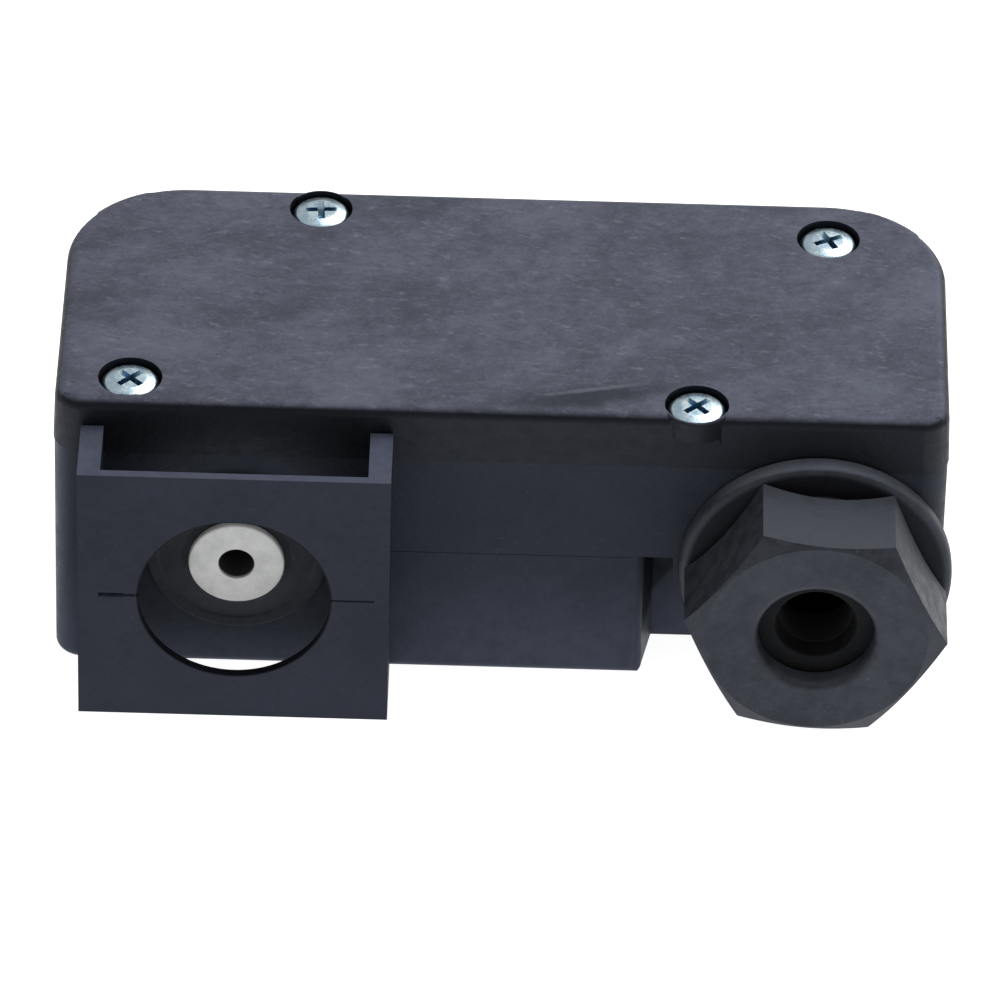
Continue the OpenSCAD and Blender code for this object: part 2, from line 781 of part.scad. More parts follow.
module cap_nut() color("#232428") {
  back_d = -collar_t - nut_gap;
  front_d = -collar_t - nut_l;
  corner_r = nut_af / 2 / cos(30);
  difference() {
    intersection() {
      translate([gland_x, depth(front_d), gland_z]) rotate([0, gland_turn, 0]) rotate([-90, 0, 0])
        cylinder(h = back_d - front_d, r = corner_r, $fn = 6);
      turned(gland_x, gland_z, [
        [0, front_d], [nut_chamfer_r, front_d], [corner_r + eps, front_d + nut_chamfer_l],
        [corner_r + eps, back_d], [0, back_d]
      ]);
    }
    rod(gland_x, gland_z, front_d - 1, back_d + 1, nut_hole_dia / 2);
    rod(gland_x, gland_z, front_d + nut_shoulder_l, back_d + 1, nut_bore_r);
  }
}

housing_base();
guard_frame();
cover();
cover_gasket();
cover_screws();
plunger();
plunger_bushing();
plunger_boot();
plunger_spring();
plunger_clip();
switch_case();
switch_lid();
switch_button();
switch_lever();
lever_pin();
snap_blade();
moving_contact();
contact_common();
contact_no();
contact_nc();
switch_screws();
terminal_block();
terminal_clamps();
terminal_screws();
lead_common();
lead_no();
lead_nc();
gland_body();
gland_o_ring();
clamp_cage();
sealing_insert();
cap_nut();
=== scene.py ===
"""Looks of the limit switch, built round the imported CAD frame. Lengths are metres; MM turns millimetres into them."""
import json
import math

import bmesh
import bpy
from mathutils import Matrix, Vector


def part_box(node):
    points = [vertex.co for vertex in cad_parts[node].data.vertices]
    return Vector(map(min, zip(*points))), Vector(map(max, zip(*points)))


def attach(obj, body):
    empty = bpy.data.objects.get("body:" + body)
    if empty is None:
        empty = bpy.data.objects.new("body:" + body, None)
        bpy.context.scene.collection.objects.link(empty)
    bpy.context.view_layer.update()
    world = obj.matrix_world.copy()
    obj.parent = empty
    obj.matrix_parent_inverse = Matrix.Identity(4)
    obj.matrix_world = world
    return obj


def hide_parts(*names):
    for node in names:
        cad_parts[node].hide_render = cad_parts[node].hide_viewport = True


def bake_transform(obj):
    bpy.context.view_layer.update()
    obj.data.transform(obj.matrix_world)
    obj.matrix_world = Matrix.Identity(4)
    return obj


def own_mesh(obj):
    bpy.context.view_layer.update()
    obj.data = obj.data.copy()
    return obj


MM = 0.001
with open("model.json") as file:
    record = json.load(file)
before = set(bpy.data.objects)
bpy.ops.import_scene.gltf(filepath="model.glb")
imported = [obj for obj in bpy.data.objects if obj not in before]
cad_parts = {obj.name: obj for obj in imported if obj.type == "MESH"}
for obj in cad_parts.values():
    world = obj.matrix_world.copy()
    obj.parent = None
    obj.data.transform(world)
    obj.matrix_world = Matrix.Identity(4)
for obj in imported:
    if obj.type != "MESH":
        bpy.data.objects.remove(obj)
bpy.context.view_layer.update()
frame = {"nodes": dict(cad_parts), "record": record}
scene = bpy.context.scene


def middle(node):
    low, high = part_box(node)
    return (low + high) / 2


# ---------------------------------------------------------------- materials
class Recipe:
    """A procedural material, with its pattern laid out in millimetres of the row frame."""

    def __init__(self, name):
        self.material = bpy.data.materials.new(name)
        self.material.use_nodes = True
        self.tree = self.material.node_tree
        self.shader = self.tree.nodes["Principled BSDF"]
        coords = self.add("ShaderNodeTexCoord")
        self.place = self.add("ShaderNodeVectorMath", operation="SCALE")
        self.tree.links.new(coords.outputs["Object"], self.place.inputs[0])
        self.place.inputs["Scale"].default_value = 1 / MM
        self.mm = self.place.outputs[0]

    def add(self, kind, **settings):
        node = self.tree.nodes.new(kind)
        for key, value in settings.items():
            setattr(node, key, value)
        return node

    def plug(self, socket, value):
        if isinstance(value, bpy.types.NodeSocket):
            self.tree.links.new(value, socket)
        else:
            socket.default_value = value

    def math(self, operation, a, b=0.0):
        node = self.add("ShaderNodeMath", operation=operation)
        self.plug(node.inputs[0], a)
        self.plug(node.inputs[1], b)
        return node.outputs[0]

    def turned(self, stretch, degrees=(0, 0, 0), shift=(0, 0, 0)):
        """The pattern's coordinates turned, shifted, and stretched along the turned axes."""
        node = self.add("ShaderNodeMapping", vector_type="TEXTURE")
        self.plug(node.inputs["Vector"], self.mm)
        node.inputs["Location"].default_value = shift
        node.inputs["Rotation"].default_value = [math.radians(d) for d in degrees]
        node.inputs["Scale"].default_value = stretch
        return node.outputs[0]

    def noise(self, size, detail=2.0, rough=0.5, where=None, warp=0.0):
        """Noise with features of about that size in mm, from 0 to 1."""
        node = self.add("ShaderNodeTexNoise", noise_dimensions="3D")
        self.plug(node.inputs["Vector"], where or self.mm)
        node.inputs["Scale"].default_value = 1 / size
        node.inputs["Detail"].default_value = detail
        node.inputs["Roughness"].default_value = rough
        node.inputs["Distortion"].default_value = warp
        return node.outputs["Fac"]

    def spots(self, size):
        """Distance from the nearest of many scattered points."""
        node = self.add("ShaderNodeTexVoronoi", voronoi_dimensions="3D", feature="F1")
        self.plug(node.inputs["Vector"], self.mm)
        node.inputs["Scale"].default_value = 1 / size
        return node.outputs["Distance"]

    def span(self, value, low, high, to_low=0.0, to_high=1.0):
        """The value's stretch from low to high, eased into the stretch from to_low to to_high."""
        node = self.add("ShaderNodeMapRange", interpolation_type="SMOOTHSTEP")
        self.plug(node.inputs["Value"], value)
        for key, number in (("From Min", low), ("From Max", high), ("To Min", to_low), ("To Max", to_high)):
            node.inputs[key].default_value = number
        return node.outputs["Result"]

    def mix(self, amount, a, b):
        node = self.add("ShaderNodeMix", data_type="RGBA")
        self.plug(node.inputs["Factor"], amount)
        self.plug(node.inputs[6], a)
        self.plug(node.inputs[7], b)
        return node.outputs[2]

    def axis(self, letter):
        node = self.add("ShaderNodeSeparateXYZ")
        self.tree.links.new(self.mm, node.inputs[0])
        return node.outputs["XYZ".index(letter)]

    def facing(self, letter):
        """How much the surface faces along that axis of the row frame at rest, from -1 to 1."""
        geometry = self.add("ShaderNodeNewGeometry")
        turn = self.add("ShaderNodeVectorTransform", vector_type="NORMAL", convert_from="WORLD",
                        convert_to="OBJECT")
        self.tree.links.new(geometry.outputs["Normal"], turn.inputs[0])
        node = self.add("ShaderNodeSeparateXYZ")
        self.tree.links.new(turn.outputs[0], node.inputs[0])
        return node.outputs["XYZ".index(letter)]

    def scratches(self, degrees, length, gap, width, patch, shift=(0, 0, 0)):
        """Thin broken lines: narrow bands of a long stretched noise, kept where a broad noise is high."""
        lines = self.noise(gap, 0.0, 0.4, where=self.turned((length, 1, 1), degrees, shift))
        band = self.math("ABSOLUTE", self.math("SUBTRACT", lines, 0.5))
        line = self.span(band, 0.0, width, 1.0, 0.0)
        broken = self.noise(patch, 2.0, 0.6, where=self.turned((2, 1, 1), degrees, shift))
        return self.math("MULTIPLY", line, self.span(broken, 0.55, 0.68))

    def inside(self, centre, radius, soft):
        """1 within a radius in mm of a line along Y through centre, fading to 0 over a soft edge."""
        apart = self.add("ShaderNodeVectorMath", operation="SUBTRACT")
        self.plug(apart.inputs[0], self.mm)
        apart.inputs[1].default_value = centre
        flat = self.add("ShaderNodeVectorMath", operation="MULTIPLY")
        self.plug(flat.inputs[0], apart.outputs[0])
        flat.inputs[1].default_value = (1, 0, 1)
        far = self.add("ShaderNodeVectorMath", operation="LENGTH")
        self.plug(far.inputs[0], flat.outputs[0])
        return self.span(far.outputs["Value"], radius, radius + soft, 1.0, 0.0)

    def bump(self, height, distance, strength):
        node = self.add("ShaderNodeBump")
        node.inputs["Strength"].default_value = strength
        node.inputs["Distance"].default_value = distance * MM
        self.plug(node.inputs["Height"], height)
        return node.outputs[0]

    def blob(self, size, degrees, place, ragged, amount):
        """Distance from a place in units of a turned oval's half sizes, with a ragged edge."""
        node = self.add("ShaderNodeVectorMath", operation="LENGTH")
        self.plug(node.inputs[0], self.turned(size, degrees, place))
        return self.math("ADD", node.outputs["Value"], self.math("MULTIPLY", self.noise(ragged, 3.0, 0.6), amount))

    def average(self, a, b, share):
        """Two patterns added, the first by its share and the second by the rest."""
        return self.math("ADD", self.math("MULTIPLY", a, share), self.math("MULTIPLY", b, 1 - share))

    def finish(self, colour, roughness, normal, metal=0.0, specular=0.5, **extra):
        sockets = self.shader.inputs
        self.plug(sockets["Base Color"], colour)
        self.plug(sockets["Roughness"], roughness)
        self.tree.links.new(normal, sockets["Normal"])
        sockets["Metallic"].default_value = metal
        sockets["Specular IOR Level"].default_value = specular
        if not metal:
            sockets["Specular Tint"].default_value = SHEEN
        for key, value in extra.items():
            sockets[key.replace("_", " ")].default_value = value
        return self.material


def grey(level, blue=0.0, red=0.0):
    """A grey with that much more blue and red in it."""
    return (level * (1 + red), level, level * (1 + blue), 1)


def times(colour, gain, more=0.0):
    """A colour that many times as bright, and more."""
    return tuple(min(1, c * gain + more) for c in colour[:3]) + (1,)


SHEEN = (0.66, 0.76, 1, 1)
# The cover's top colours are painted far lighter than its sides, as painted sheen from above.
COVER_TOP_LIT_DARK = grey(0.072, 0.34, -0.05)
COVER_TOP_LIT_LIGHT = grey(0.150, 0.32, -0.05)
COVER_SIDE_DARK = grey(0.003, 0.15)
COVER_SIDE_LIGHT = grey(0.006, 0.15)
COVER_WORN = grey(0.25, 0.24, -0.03)
BASE_DARK = grey(0.017, 0.45, -0.1)
BASE_LIGHT = grey(0.025, 0.43, -0.1)
# Painted shade: high in the recess beside the gland, and on the guard's window edge.
NOTCH_SHADE = grey(0.002, 0.4)
WINDOW_SHADE = grey(0.004, 0.6)
GLAND_DARK = grey(0.026, 0.22, -0.06)
GLAND_LIGHT = grey(0.045, 0.22, -0.06)
COLLAR_DARK = grey(0.036, 0.22, -0.06)
COLLAR_LIGHT = grey(0.054, 0.22, -0.06)
COLLAR_SHADE = grey(0.014, 0.2)
SEAL_DARK = grey(0.007)
SEAL_LIGHT = grey(0.013)
SEAL_BORE_LIT = grey(0.03)
RUBBER_DARK = grey(0.026, 0.18, -0.04)
RUBBER_LIGHT = grey(0.042, 0.18, -0.04)
PLUNGER_DARK = (0.54, 0.54, 0.53, 1)
PLUNGER_LIGHT = (0.68, 0.68, 0.67, 1)
PLUNGER_GRIME = (0.30, 0.29, 0.27, 1)
PLUNGER_HOLE_SHADE = grey(0.05)
ZINC_DARK = (0.58, 0.79, 0.96, 1)
ZINC_LIGHT = (0.80, 0.95, 1.0, 1)
ZINC_SHADE = (0.12, 0.25, 0.36, 1)
ZINC_STAIN = (0.16, 0.25, 0.32, 1)

SOCKET_R = 1.9            # hole in the plunger's head
SEAL_BORE_R = 3.75        # sealing insert's bore, and its wider mouth
SEAL_MOUTH_R = 4.3
WINDOW_R = 10.2           # round window in the guard
NOTCH_X = 15.6            # recess beside the gland: its left wall at the front, how far that wall leans, its depth
NOTCH_SLANT = 1.0
NOTCH_DEPTH = 7.3


def plastic(name, dark, light, grain=0.35, rough=(0.42, 0.6), specular=0.35, scuffs=0.0, specks=0.0, painted_lift=1.0,
            foot=None, shades=()):
    """Moulded plastic: a cloudy tone, a fine eroded grain, and where asked for, scuffs and pale specks.
    Painted lift is how much lighter its upward faces are painted, as painted light from above.
    Foot is the height in mm up to which it is painted paler, as painted light bounced from the floor, and how much;
    faces towards -X are painted paler with it. Each shade is a mask made from the recipe and the tone painted in it:
    painted shade in most, painted light in the seal's bore."""
    r = Recipe(name)
    cloud = r.noise(9.0, 3.0, 0.6)
    mottle = r.noise(1.6, 3.0, 0.6)
    fine = r.noise(grain, 2.0, 0.6)
    tone = r.average(cloud, mottle, 0.4)
    colour = r.mix(r.span(tone, 0.35, 0.65), dark, light)
    # Painted light from above: upward faces painted lighter, patchy with the mottle.
    if painted_lift != 1.0:
        lit_top_faces = r.math("MULTIPLY", r.span(r.facing("Z"), 0.55, 0.95), r.span(mottle, 0.2, 0.6, 0.7, 1.0))
        colour = r.mix(lit_top_faces, colour, times(light, painted_lift))
    # Painted light bounced from the floor: paler low down, and on faces towards -X.
    if foot:
        height, gain = foot
        ragged = r.math("ADD", r.axis("Z"), r.math("MULTIPLY", r.noise(4.0, 3.0, 0.6), 3.0))
        low_down = r.span(ragged, 0.0, height, 1.0, 0.0)
        end_face = r.span(r.facing("X"), -0.9, -0.3, 0.8, 0.0)
        patchy = r.span(tone, 0.35, 0.65, 0.62, 1.0)
        bounce_lit = r.math("MULTIPLY", r.math("MAXIMUM", low_down, end_face), patchy)
        colour = r.mix(bounce_lit, colour, times(light, gain))
    wear = r.span(r.noise(0.7, 2.0, 0.7), 0.62, 0.8, 0.0, 0.3)
    if scuffs:
        streaks = r.scratches((0, 0, 28), 14.0, 0.8, 0.01, 12.0)
        more = r.scratches((0, 20, -40), 12.0, 0.7, 0.01, 16.0, (7, 3, 0))
        wear = r.math("MAXIMUM", wear, r.math("MULTIPLY", r.math("MAXIMUM", streaks, more), scuffs))
    if specks:
        wear = r.math("MAXIMUM", wear, r.span(r.spots(3.5), 0.0, 0.06, specks, 0.0))
    colour = r.mix(wear, colour, times(light, 2.4, 0.008))
    for mask, shade in shades:
        colour = r.mix(mask(r), colour, shade)
    roughness = r.span(mottle, 0.3, 0.7, rough[0], rough[1])
    height = r.math("ADD", r.math("MULTIPLY", fine, 0.8), r.math("MULTIPLY", mottle, 0.5))
    return r.finish(colour, roughness, r.bump(height, 0.1, 0.35), specular=specular)


def cover_plastic():
    """The cover's plastic: mottled, its top painted far lighter than its sides as painted sheen from above, scuffed and
    flecked pale on top, with a wiped smear and a pale rub near the front.
    """
    low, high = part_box("cover")
    front, top = low.y / MM, high.z / MM
    r = Recipe("cover_plastic")
    cloud = r.noise(9.0, 4.0, 0.62, where=r.turned((1.5, 1, 1), (0, 0, 20)), warp=0.3)
    mottle = r.noise(1.3, 4.0, 0.75, where=r.turned((1.35, 1, 1), (0, 0, 8)))
    fine = r.noise(0.4, 2.0, 0.6)
    # Upward faces take the top colours, painted lighter as painted sheen from above; wear, smear and rub stay on them.
    up = r.span(r.facing("Z"), 0.6, 0.98)
    tone = r.math("ADD", r.math("MULTIPLY", cloud, 0.45),
                  r.math("ADD", r.math("MULTIPLY", mottle, 0.4), r.math("MULTIPLY", fine, 0.15)))
    colour = r.mix(up, r.mix(r.span(tone, 0.34, 0.66), COVER_SIDE_DARK, COVER_SIDE_LIGHT),
                   r.mix(r.span(tone, 0.36, 0.64), COVER_TOP_LIT_DARK, COVER_TOP_LIT_LIGHT))
    streaks = r.scratches((0, 0, -14), 10.0, 0.8, 0.02, 7.0)
    more = r.scratches((0, 0, 21), 9.0, 0.7, 0.016, 8.0, (4, 9, 0))
    wear = r.math("MULTIPLY", r.math("MAXIMUM", streaks, more), 0.35)
    flecks = r.span(r.noise(0.8, 3.0, 0.75, where=r.turned((2.6, 1, 1), (0, 0, -10))), 0.54, 0.76, 0.0, 0.6)
    wear = r.math("MAXIMUM", wear, flecks)
    colour = r.mix(r.math("MULTIPLY", wear, up), colour, COVER_WORN)
    smear = r.blob((9.5, 2.3, 50), (0, 0, 11), (9.0, front + 4.6, top), 2.5, 0.7)
    colour = r.mix(r.math("MULTIPLY", r.span(smear, 0.7, 1.5, 0.68, 0.0), up), colour, COVER_SIDE_LIGHT)
    rub = r.blob((7.0, 0.5, 50), (0, 0, 13), (9.5, front + 5.9, top), 1.2, 0.9)
    colour = r.mix(r.math("MULTIPLY", r.span(rub, 0.7, 1.5, 0.42, 0.0), up), colour, COVER_WORN)
    roughness = r.span(mottle, 0.3, 0.7, 0.46, 0.62)
    height = r.math("ADD", r.math("MULTIPLY", fine, 0.8), r.math("MULTIPLY", mottle, 0.6))
    return r.finish(colour, roughness, r.bump(height, 0.1, 0.35), specular=0.3)


def plunger_plastic():
    """The plunger's pale plastic, slightly soiled, its hole painted dark inside as painted shade."""
    low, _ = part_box("plunger")
    r = Recipe("plunger_plastic")
    cloud = r.noise(2.6, 3.0, 0.6)
    fine = r.noise(0.22, 2.0, 0.6)
    colour = r.mix(r.span(cloud, 0.3, 0.7), PLUNGER_DARK, PLUNGER_LIGHT)
    colour = r.mix(r.span(r.noise(0.9, 3.0, 0.7), 0.58, 0.78, 0.0, 0.35), colour, PLUNGER_GRIME)
    deep = r.span(r.axis("Y"), low.y / MM + 0.25, low.y / MM + 0.5)
    hole = r.math("MULTIPLY", r.inside(middle("plunger") / MM, SOCKET_R + 0.1, 0.1), deep)
    colour = r.mix(hole, colour, PLUNGER_HOLE_SHADE)
    roughness = r.span(r.average(fine, cloud, 0.5), 0.35, 0.65, 0.42, 0.56)
    height = r.math("ADD", fine, r.math("MULTIPLY", cloud, 0.5))
    return r.finish(colour, roughness, r.bump(height, 0.06, 0.3), specular=0.35)


def metal(name, dark, light, rough=(0.22, 0.38), brushed=None, spots=0.0):
    """Metal with a cloudy plating, fine grain and where asked for, a drawn direction and stains."""
    r = Recipe(name)
    cloud = r.noise(1.4, 3.0, 0.6)
    fine = r.noise(0.15, 2.0, 0.6, where=r.turned(brushed) if brushed else None)
    colour = r.mix(r.span(cloud, 0.35, 0.65), dark, light)
    if spots:
        stain = r.span(r.noise(0.5, 2.0, 0.7), 0.6, 0.75, 0.0, spots)
        colour = r.mix(stain, colour, times(dark, 0.4))
    roughness = r.span(r.average(fine, cloud, 0.6), 0.35, 0.65, rough[0], rough[1])
    return r.finish(colour, roughness, r.bump(fine, 0.04, 0.3), metal=1.0)


def screw_zinc():
    """Blue passivated zinc: bright on the heads' crowns, painted darker and bluer in the crosses and down the sides
    as painted shade.
    """
    _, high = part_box("cover_screws")
    top = high.z / MM
    r = Recipe("zinc_steel")
    cloud = r.noise(0.9, 3.0, 0.6)
    fine = r.noise(0.12, 2.0, 0.6)
    bright = r.mix(r.span(cloud, 0.35, 0.65), ZINC_DARK, ZINC_LIGHT)
    down = r.span(r.axis("Z"), top - 1.0, top - 0.4, 1.0, 0.0)
    steep = r.span(r.facing("Z"), 0.35, 0.8, 1.0, 0.0)
    colour = r.mix(r.math("MAXIMUM", down, r.math("MULTIPLY", steep, 0.8)), bright, ZINC_SHADE)
    colour = r.mix(r.span(r.noise(0.5, 2.0, 0.7), 0.6, 0.75, 0.0, 0.4), colour, ZINC_STAIN)
    roughness = r.span(r.average(fine, cloud, 0.5), 0.35, 0.65, 0.24, 0.38)
    return r.finish(colour, roughness, r.bump(r.math("ADD", fine, cloud), 0.03, 0.3), metal=1.0)


def seal_rubber():
    """The rubber deep inside the gland, black, with its bore painted grey as painted light inside the hole."""
    def bore(r):
        return r.inside(middle("sealing_insert") / MM, SEAL_BORE_R + 0.02, 0.05)
    return plastic("seal_rubber", SEAL_DARK, SEAL_LIGHT, grain=0.2, rough=(0.6, 0.8), specular=0.1,
                   shades=((bore, SEAL_BORE_LIT),))


def guard_plastic():
    """The guard's plastic, the base's own, with the window's edge painted dark as painted shade,
    its upward faces painted lighter as painted light from above,
    and its foot and faces towards -X painted paler as painted bounce light.
    """
    def window(r):
        return r.inside(middle("plunger") / MM, WINDOW_R + 0.1, 0.08)
    return plastic("guard_plastic", BASE_DARK, BASE_LIGHT, scuffs=0.1, specular=0.15, painted_lift=4.2, foot=(16.0, 1.25),
                   shades=((window, WINDOW_SHADE),))


def collar_plastic():
    """The gland body's plastic, its flange painted dark behind the nut as painted shadow, and its upward faces round
    the rim painted paler as painted light from above.
    """
    low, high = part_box("gland_body")
    rim = (high.x - low.x) / 2 / MM

    def behind_nut(r):
        return r.inside(middle("gland_body") / MM, rim - 1.1, 0.7)
    return plastic("collar_plastic", COLLAR_DARK, COLLAR_LIGHT, specular=0.2, painted_lift=2.8,
                   shades=((behind_nut, COLLAR_SHADE),))


def base_plastic():
    """The base's plastic, shaded high inside the recess beside the gland, where little light gets in."""
    low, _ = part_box("housing_base")
    front = low.y / MM

    def recess(r):
        sunk = r.math("MULTIPLY", r.span(r.axis("Y"), front + 0.5, front + 1.2),
                      r.span(r.axis("Y"), front + 8.5, front + 9.5, 1.0, 0.0))
        beside = r.math("SUBTRACT", r.axis("X"), NOTCH_X)
        near = r.math("MULTIPLY", r.span(beside, -0.3, 0.0), r.span(beside, 4.0, 5.0, 1.0, 0.0))
        rise = r.math("SUBTRACT", r.axis("Z"), r.math("MULTIPLY", beside, 1.4))
        return r.math("MULTIPLY", r.math("MULTIPLY", sunk, near), r.span(rise, 4.2, 5.4))
    # Painted light from above on upward faces; painted floor-bounce light low down and on faces towards -X.
    return plastic("base_plastic", BASE_DARK, BASE_LIGHT, scuffs=0.15, specular=0.15, painted_lift=3.6, foot=(19.0, 2.3),
                   shades=((recess, NOTCH_SHADE),))


LOOKS = {
    "base_plastic": base_plastic(),
    "cover_plastic": cover_plastic(),
    # The nut: upward faces painted lighter as painted light from above; its scuffs and specks are wear.
    "gland_plastic": plastic("gland_plastic", GLAND_DARK, GLAND_LIGHT, scuffs=0.25, specks=0.6, rough=(0.4, 0.58),
                             specular=0.2, painted_lift=1.7),
    "plunger_plastic": plunger_plastic(),
    "black_rubber": plastic("black_rubber", RUBBER_DARK, RUBBER_LIGHT, grain=0.2, rough=(0.6, 0.8), specular=0.2),
    "zinc_steel": screw_zinc(),
    "spring_steel": metal("spring_steel", (0.36, 0.36, 0.37, 1), (0.50, 0.50, 0.51, 1), rough=(0.3, 0.45)),
    "brass": metal("brass", (0.55, 0.40, 0.17, 1), (0.68, 0.52, 0.25, 1), brushed=(1, 1, 0.1), spots=0.3),
    "copper": metal("copper", (0.62, 0.33, 0.20, 1), (0.75, 0.44, 0.28, 1), brushed=(0.1, 1, 1), spots=0.3),
    "silver": metal("silver", (0.70, 0.70, 0.68, 1), (0.82, 0.82, 0.80, 1), rough=(0.3, 0.42), spots=0.3),
    "switch_plastic": plastic("switch_plastic", (0.030, 0.075, 0.17, 1), (0.040, 0.095, 0.21, 1), grain=0.25),
    "button_plastic": plastic("button_plastic", (0.42, 0.030, 0.024, 1), (0.52, 0.045, 0.034, 1), grain=0.2),
    "block_plastic": plastic("block_plastic", (0.62, 0.58, 0.48, 1), (0.72, 0.68, 0.58, 1), grain=0.3),
    "black_lead": plastic("black_lead", grey(0.018), grey(0.028), grain=0.3, rough=(0.35, 0.5)),
    "red_lead": plastic("red_lead", (0.26, 0.030, 0.022, 1), (0.33, 0.045, 0.034, 1), grain=0.3,
                        rough=(0.35, 0.5)),
    "blue_lead": plastic("blue_lead", (0.028, 0.070, 0.25, 1), (0.040, 0.095, 0.32, 1), grain=0.3,
                         rough=(0.35, 0.5)),
}


# ---------------------------------------------------------------- shapes
def link(name, data):
    obj = bpy.data.objects.new(name, data)
    scene.collection.objects.link(obj)
    return obj


def made(name, bm):
    """Turns a finished bmesh into an object."""
    mesh = bpy.data.meshes.new(name)
    bm.to_mesh(mesh)
    bm.free()
    return link(name, mesh)


def skinned(name, rings, place=Matrix()):
    """A solid with those outlines as its ends and ribs, each a row of as many points, moved to its place."""
    bm = bmesh.new()
    rows = [[bm.verts.new(point) for point in ring] for ring in rings]
    bm.faces.new(rows[0])
    bm.faces.new(rows[-1][::-1])
    for one, two in zip(rows, rows[1:]):
        for k in range(len(one)):
            m = (k + 1) % len(one)
            bm.faces.new((one[k], two[k], two[m], one[m]))
    bmesh.ops.recalc_face_normals(bm, faces=bm.faces)
    bm.transform(place)
    return made(name, bm)


def cleaned(node, name):
    """A copy of a CAD node's mesh as a new piece, welded, its flat faces joined."""
    mesh = frame["nodes"][node].data.copy()
    mesh.materials.clear()
    if "custom_normal" in mesh.attributes:
        mesh.attributes.remove(mesh.attributes["custom_normal"])
    bm = bmesh.new()
    bm.from_mesh(mesh)
    bmesh.ops.remove_doubles(bm, verts=bm.verts, dist=1e-6)
    bmesh.ops.dissolve_limit(bm, angle_limit=math.radians(0.6), verts=bm.verts, edges=bm.edges)
    bm.to_mesh(mesh)
    bm.free()
    return link(name, mesh)


def applied(obj):
    """Applies the piece's modifiers."""
    graph = bpy.context.evaluated_depsgraph_get()
    mesh = bpy.data.meshes.new_from_object(obj.evaluated_get(graph))
    obj.modifiers.clear()
    old = obj.data
    obj.data = mesh
    bpy.data.meshes.remove(old)
    mesh.name = obj.name
    return obj


def baked(obj, smooth_angle=35):
    """Applies the piece's modifiers and shades it smooth up to that angle."""
    applied(obj)
    obj.data.shade_smooth()
    obj.data.set_sharp_from_angle(angle=math.radians(smooth_angle))
    return obj


def cut(obj, cutter):
    """Takes the cutter away from the piece."""
    m = obj.modifiers.new("cut", "BOOLEAN")
    m.operation = "DIFFERENCE"
    m.object = cutter
    m.solver = "EXACT"
    baked(obj)
    mesh = cutter.data
    bpy.data.objects.remove(cutter)
    bpy.data.meshes.remove(mesh)
    return obj


def softened(obj, width, segments=3, angle=32, weighted=True):
    """Rounds the edges sharper than the angle by a width in mm. Weighted keeps a plane beside a curve shaded flat."""
    m = obj.modifiers.new("bevel", "BEVEL")
    m.width = width * MM
    m.segments = segments
    m.limit_method = "ANGLE"
    m.angle_limit = math.radians(angle)
    m.harden_normals = False
    m.use_clamp_overlap = True
    m.miter_outer = "MITER_ARC"
    baked(obj, 20)
    if not weighted:
        return obj
    m = obj.modifiers.new("weighted", "WEIGHTED_NORMAL")
    m.keep_sharp = True
    return applied(obj)


def lathe(name, centre, profile, segments=128):
    """A piece turned about a line along +Y. The closed profile's points are [radius, y] in mm from centre."""
    bm = bmesh.new()
    rings = []
    for r, y in profile:
        if r < 1e-6:
            rings.append([bm.verts.new(centre + Vector((0, y * MM, 0)))])
        else:
            rings.append([bm.verts.new(centre + Vector((math.cos(a) * r, y, math.sin(a) * r)) * MM)
                          for a in (math.tau * i / segments for i in range(segments))])
    for one, two in zip(rings, rings[1:] + rings[:1]):
        if len(one) == 1 and len(two) == 1:
            continue
        for i in range(segments):
            j = (i + 1) % segments
            corners = [one[i % len(one)], one[j % len(one)], two[j % len(two)], two[i % len(two)]]
            corners = [c for k, c in enumerate(corners) if c not in corners[:k]]
            bm.faces.new(corners)
    bmesh.ops.recalc_face_normals(bm, faces=bm.faces)
    return made(name, bm)


def rounded(points, steps=5):
    """A profile of [x, y, radius] corners as points. A corner's curve takes at most its share of an edge."""
    share = 0.49
    out = []
    n = len(points)
    for i, (x, y, r) in enumerate(points):
        here = Vector((x, y))
        if not r:
            out.append((x, y))
            continue
        before = Vector(points[i - 1][:2]) - here
        after = Vector(points[(i + 1) % n][:2]) - here
        half = before.angle(after) / 2
        reach = min(r / math.tan(half), before.length * share, after.length * share)
        start, end = here + before.normalized() * reach, here + after.normalized() * reach
        for k in range(steps + 1):
            t = k / steps
            a = start.lerp(here, t)
            b = here.lerp(end, t)
            p = a.lerp(b, t)
            out.append((p.x, p.y))
    return out


def slot_cutter(low, high):
    """A box between two corners in mm."""
    low, high = Vector(low) * MM, Vector(high) * MM
    bm = bmesh.new()
    bmesh.ops.create_cube(bm, size=1)
    size, mid = high - low, (high + low) / 2
    for v in bm.verts:
        v.co = Vector([v.co[i] * size[i] + mid[i] for i in range(3)])
    return made("cutter", bm)


def piece(obj, body, slot, *nodes, look=None):
    """Gives a piece its finish, parents it to its body where one is given, and hides the CAD nodes it stands for."""
    obj.data.materials.clear()
    obj.data.materials.append(look or LOOKS[slot])
    for face in obj.data.polygons:
        face.material_index = 0
    if body:
        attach(obj, body)
    if nodes:
        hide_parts(*nodes)
    return obj


def turned_piece(name, axis, points, body, slot, *nodes, look=None):
    """A turned piece from [radius, depth, rounding] corners, depth counted in mm from the axis's own start."""
    return piece(baked(lathe(name, axis, rounded(points))), body, slot, *nodes, look=look)


cover_low, cover_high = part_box("cover")
base_low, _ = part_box("housing_base")
guard_low, guard_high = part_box("guard_frame")
nut_low, nut_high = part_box("cap_nut")
collar_low, collar_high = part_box("gland_body")
boot_low, boot_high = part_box("plunger_boot")
head_low, head_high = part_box("plunger")
plunger_mid = middle("plunger")
gland_mid = middle("gland_body")
FRONT = -cover_high.y                     # the cover's front plane; its back plane mirrors it
plunger_axis = Vector((plunger_mid.x, FRONT, plunger_mid.z))
gland_axis = Vector((gland_mid.x, FRONT, gland_mid.z))
front_mm = FRONT / MM
PARTING_Z = 15.85
PARTING_W = 0.1
QUARTER = [math.radians(15 * k) for k in range(7)]     # the angles of a rounded edge, through 90 degrees

